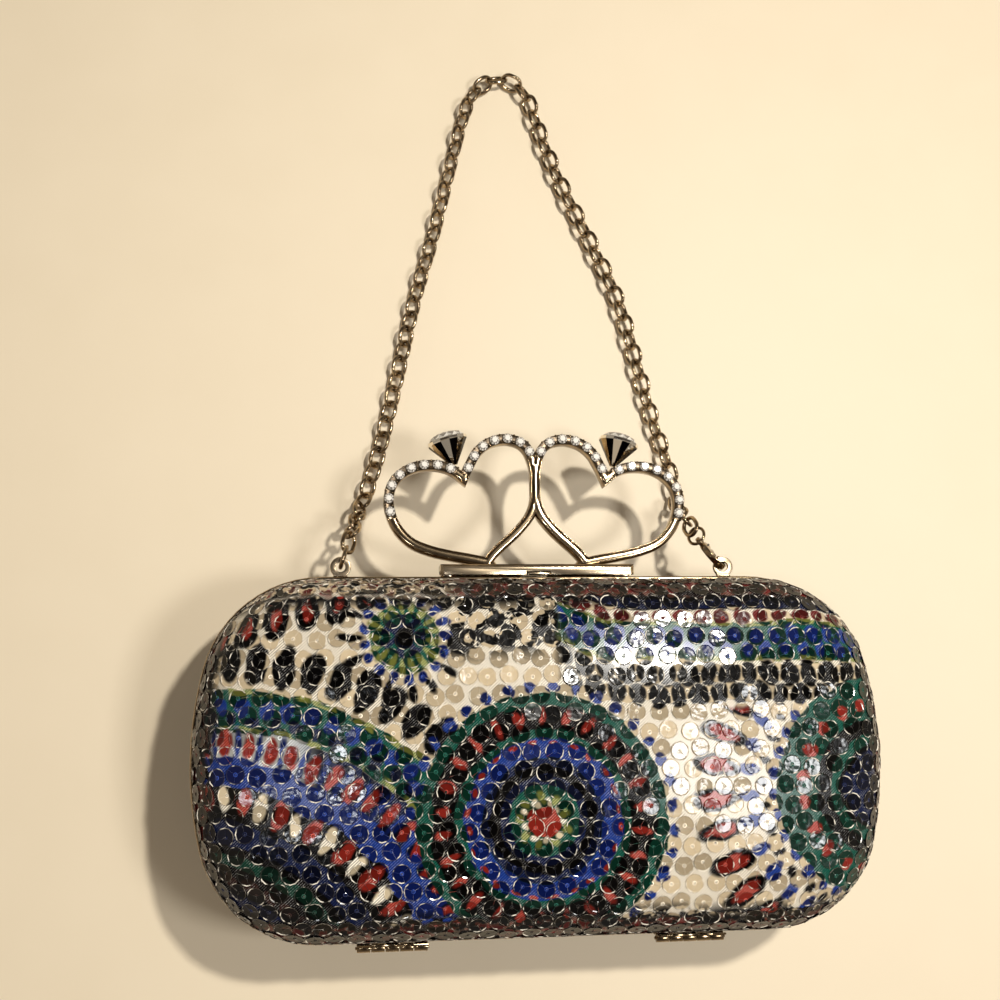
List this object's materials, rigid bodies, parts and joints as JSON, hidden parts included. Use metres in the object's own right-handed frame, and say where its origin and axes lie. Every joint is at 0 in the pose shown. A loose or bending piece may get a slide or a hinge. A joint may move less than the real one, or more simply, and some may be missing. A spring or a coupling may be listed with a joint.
{
  "type": "clutch bag",
  "caption": "Hard-shell evening clutch with printed sequinned satin covers, metal rim frames, a tilting two-heart finger clasp with rhinestones and cone studs, and a chain strap on lugs",
  "frame": {"origin": "centre of the flat area of the back that the clutch rests on", "axes": "+X to the right along the width, +Y towards the finger clasp, +Z out of the front face"},
  "size_m": [0.18, 0.2522, 0.05],
  "materials": {
    "printed_satin": "glossy satin printed with a medallion and band pattern, sewn sequins",
    "shell_board": "moulded shell under the cloth, hidden",
    "black_lining": "matte black lining cloth",
    "pale_gold": "polished pale gold plating",
    "clear_crystal": "clear faceted glass",
    "spring_steel": "bare spring steel"
  },
  "bodies": {
    "back_half": {"back_cover": "printed_satin", "back_shell": "shell_board", "back_lining": "black_lining", "back_frame": "pale_gold", "left_hinge_back": "pale_gold", "right_hinge_back": "pale_gold", "left_hinge_pin": "pale_gold", "right_hinge_pin": "pale_gold", "left_clasp_bearing": "pale_gold", "right_clasp_bearing": "pale_gold", "clasp_pin": "spring_steel", "clasp_spring": "spring_steel", "left_lug": "pale_gold", "right_lug": "pale_gold", "chain": "pale_gold", "left_end_link": "pale_gold", "jump_ring": "pale_gold", "lobster_body": "pale_gold", "lobster_pin": "spring_steel"},
    "front_half": {"front_cover": "printed_satin", "front_shell": "shell_board", "front_lining": "black_lining", "front_frame": "pale_gold", "left_hinge_front": "pale_gold", "right_hinge_front": "pale_gold", "catch_tongue": "pale_gold"},
    "finger_clasp": {"clasp_bar": "pale_gold", "left_heart": "pale_gold", "right_heart": "pale_gold", "left_heart_stones": "clear_crystal", "right_heart_stones": "clear_crystal", "left_cone_cup": "pale_gold", "right_cone_cup": "pale_gold", "left_crown_stone": "clear_crystal", "right_crown_stone": "clear_crystal"},
    "thumb_gate": {"lobster_gate": "pale_gold"}
  },
  "joints": [
    {"name": "case_opening", "type": "hinge", "parent": "back_half", "child": "front_half", "pos_m": [0, -0.0479, 0.025], "axis": [1, 0, 0], "range_deg": [0, 95]},
    {"name": "clasp_tilt", "type": "hinge", "parent": "back_half", "child": "finger_clasp", "pos_m": [0, 0.0481, 0.0203], "axis": [-1, 0, 0], "range_deg": [0, 28], "stiffness_Nm_per_rad": 0.1, "springref_deg": -17.19},
    {"name": "gate_swing", "type": "hinge", "parent": "back_half", "child": "thumb_gate", "pos_m": [0.0479, 0.05495, 0.02253], "axis": [-0.6664, -0.5793, -0.4695], "range_deg": [0, 25], "stiffness_Nm_per_rad": 0.001, "springref_deg": -17.19}
  ]
}
